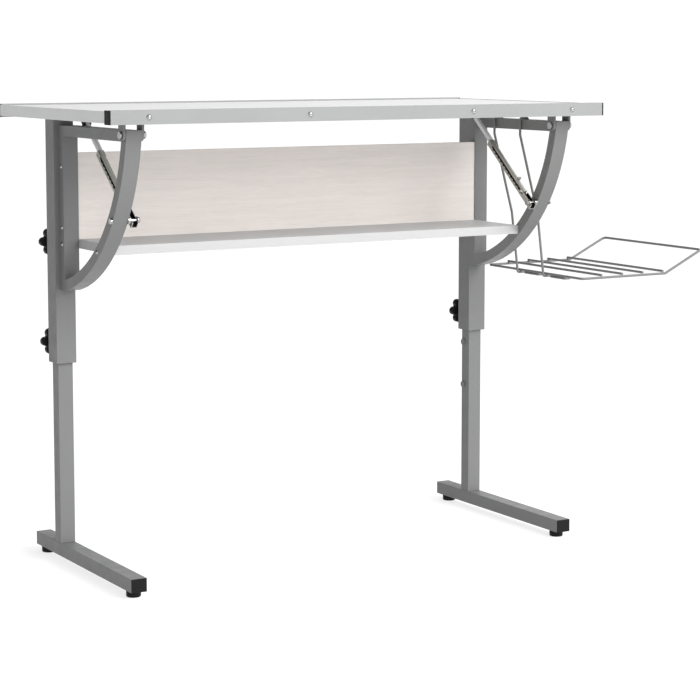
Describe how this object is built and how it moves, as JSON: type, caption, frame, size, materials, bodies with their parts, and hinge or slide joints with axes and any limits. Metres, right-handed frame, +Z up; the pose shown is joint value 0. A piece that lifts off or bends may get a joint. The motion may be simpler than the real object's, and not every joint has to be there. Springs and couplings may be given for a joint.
{
  "type": "drafting table",
  "caption": "Height-adjustable drafting table with a tilting rectangular top, T-foot legs, a shelf with back panel and a hanging wire rack at one side.",
  "frame": {"origin": "centre of the whole object's footprint on the floor, side rack included", "axes": "+X along the table to the right as the user sits, -Y towards the user, +Z up"},
  "size_m": [1.3455, 0.536, 0.87],
  "materials": {
    "white_board": "smooth white melamine on chipboard",
    "panel_board": "pale melamine with a fine horizontal grain",
    "rail_grey": "light grey satin powder coat",
    "stay_grey": "light grey powder coat",
    "leg_grey": "mid grey satin powder coat",
    "zinc_steel": "zinc-plated pressed steel",
    "bright_steel": "nickel-plated steel",
    "black_metal": "black painted pressed steel",
    "black_plastic": "matt black moulded plastic"
  },
  "bodies": {
    "left_lower_leg": {"left_inner_leg": "leg_grey", "left_foot": "leg_grey", "left_foot_caps": "black_plastic", "left_leg_glide": "black_plastic", "left_leg_buttons": "leg_grey", "left_leveller_inserts": "black_plastic"},
    "upper_frame": {"left_outer_leg": "leg_grey", "right_outer_leg": "leg_grey", "outer_leg_caps": "black_plastic", "leg_bushings": "black_plastic", "knob_nuts": "leg_grey", "left_side_post": "leg_grey", "left_top_bar": "leg_grey", "left_curved_tube": "leg_grey", "right_side_post": "leg_grey", "right_top_bar": "leg_grey", "right_curved_tube": "leg_grey", "shelf_board": "white_board", "back_panel": "panel_board", "side_screws": "bright_steel", "stay_bolts": "bright_steel", "stay_nuts": "bright_steel", "hinge_bolts": "bright_steel"},
    "right_lower_leg": {"right_inner_leg": "leg_grey", "right_foot": "leg_grey", "right_foot_caps": "black_plastic", "right_leg_glide": "black_plastic", "right_leg_buttons": "leg_grey", "right_leveller_inserts": "black_plastic"},
    "tabletop": {"top_board": "white_board", "front_rail": "rail_grey", "back_rail": "rail_grey", "left_edge_trim": "rail_grey", "right_edge_trim": "rail_grey", "rail_end_caps": "black_plastic", "rail_screws": "bright_steel", "left_hinge_bracket": "leg_grey", "right_hinge_bracket": "leg_grey", "stay_lugs": "black_metal", "stay_pins": "bright_steel", "bracket_screws": "bright_steel"},
    "left_stay_channel": {"left_lower_stay": "zinc_steel"},
    "right_stay_channel": {"right_lower_stay": "zinc_steel"},
    "left_stay_arm": {"left_upper_stay": "stay_grey"},
    "right_stay_arm": {"right_upper_stay": "stay_grey"},
    "knob_left_high": {"left_upper_knob": "black_plastic", "left_upper_stud": "bright_steel"},
    "knob_left_low": {"left_lower_knob": "black_plastic", "left_lower_stud": "bright_steel"},
    "knob_right_high": {"right_upper_knob": "black_plastic", "right_upper_stud": "bright_steel"},
    "knob_right_low": {"right_lower_knob": "black_plastic", "right_lower_stud": "bright_steel"},
    "leveller_left_front": {"left_front_leveller": "black_plastic"},
    "leveller_left_back": {"left_back_leveller": "black_plastic"},
    "leveller_right_front": {"right_front_leveller": "black_plastic"},
    "leveller_right_back": {"right_back_leveller": "black_plastic"},
    "wire_rack": {"rack_frame": "leg_grey", "rack_cross_wires": "leg_grey", "rack_hangers": "leg_grey"}
  },
  "joints": [
    {"name": "lower_table", "type": "slide", "parent": "left_lower_leg", "child": "upper_frame", "axis": [0, 0, -1], "range_m": [0, 0.29]},
    {"name": "right_leg_slide", "type": "slide", "parent": "upper_frame", "child": "right_lower_leg", "axis": [0, 0, 1], "range_m": [0, 0.29]},
    {"name": "tilt_top", "type": "hinge", "parent": "upper_frame", "child": "tabletop", "pos_m": [-0.14475, -0.2095, 0.825], "axis": [1, 0, 0], "range_deg": [0, 60]},
    {"name": "left_channel_pivot", "type": "hinge", "parent": "upper_frame", "child": "left_stay_channel", "pos_m": [-0.57875, -0.155, 0.6705], "axis": [1, 0, 0], "range_deg": [0, 41.21]},
    {"name": "left_arm_pivot", "type": "hinge", "parent": "tabletop", "child": "left_stay_arm", "pos_m": [-0.57875, 0.048, 0.838], "axis": [1, 0, 0], "range_deg": [-18.89, 0]},
    {"name": "right_channel_pivot", "type": "hinge", "parent": "upper_frame", "child": "right_stay_channel", "pos_m": [0.28925, -0.155, 0.6705], "axis": [1, 0, 0], "range_deg": [0, 41.21]},
    {"name": "right_arm_pivot", "type": "hinge", "parent": "tabletop", "child": "right_stay_arm", "pos_m": [0.28925, 0.048, 0.838], "axis": [1, 0, 0], "range_deg": [-18.89, 0]},
    {"name": "turn_knob_left_high", "type": "hinge", "parent": "upper_frame", "child": "knob_left_high", "pos_m": [-0.61075, 0.145, 0.611], "axis": [0, 1, 0], "continuous": true},
    {"name": "turn_knob_left_low", "type": "hinge", "parent": "upper_frame", "child": "knob_left_low", "pos_m": [-0.61075, 0.145, 0.42], "axis": [0, 1, 0], "continuous": true},
    {"name": "turn_knob_right_high", "type": "hinge", "parent": "upper_frame", "child": "knob_right_high", "pos_m": [0.32125, 0.145, 0.611], "axis": [0, 1, 0], "continuous": true},
    {"name": "turn_knob_right_low", "type": "hinge", "parent": "upper_frame", "child": "knob_right_low", "pos_m": [0.32125, 0.145, 0.42], "axis": [0, 1, 0], "continuous": true},
    {"name": "turn_leveller_left_front", "type": "hinge", "parent": "left_lower_leg", "child": "leveller_left_front", "pos_m": [-0.61075, -0.208, 0.006], "axis": [0, 0, 1], "continuous": true},
    {"name": "turn_leveller_left_back", "type": "hinge", "parent": "left_lower_leg", "child": "leveller_left_back", "pos_m": [-0.61075, 0.186, 0.006], "axis": [0, 0, 1], "continuous": true},
    {"name": "turn_leveller_right_front", "type": "hinge", "parent": "right_lower_leg", "child": "leveller_right_front", "pos_m": [0.32125, -0.208, 0.006], "axis": [0, 0, 1], "continuous": true},
    {"name": "turn_leveller_right_back", "type": "hinge", "parent": "right_lower_leg", "child": "leveller_right_back", "pos_m": [0.32125, 0.186, 0.006], "axis": [0, 0, 1], "continuous": true},
    {"name": "lift_rack", "type": "slide", "parent": "upper_frame", "child": "wire_rack", "axis": [0, 0, 1], "range_m": [0, 0.008]}
  ],
  "couplings": [
    {"joint": "right_leg_slide", "follows": "lower_table", "ratio": 1},
    {"joint": "left_channel_pivot", "follows": "tilt_top", "ratio": 0.686},
    {"joint": "left_arm_pivot", "follows": "tilt_top", "ratio": -0.314},
    {"joint": "right_channel_pivot", "follows": "tilt_top", "ratio": 0.686},
    {"joint": "right_arm_pivot", "follows": "tilt_top", "ratio": -0.314}
  ]
}
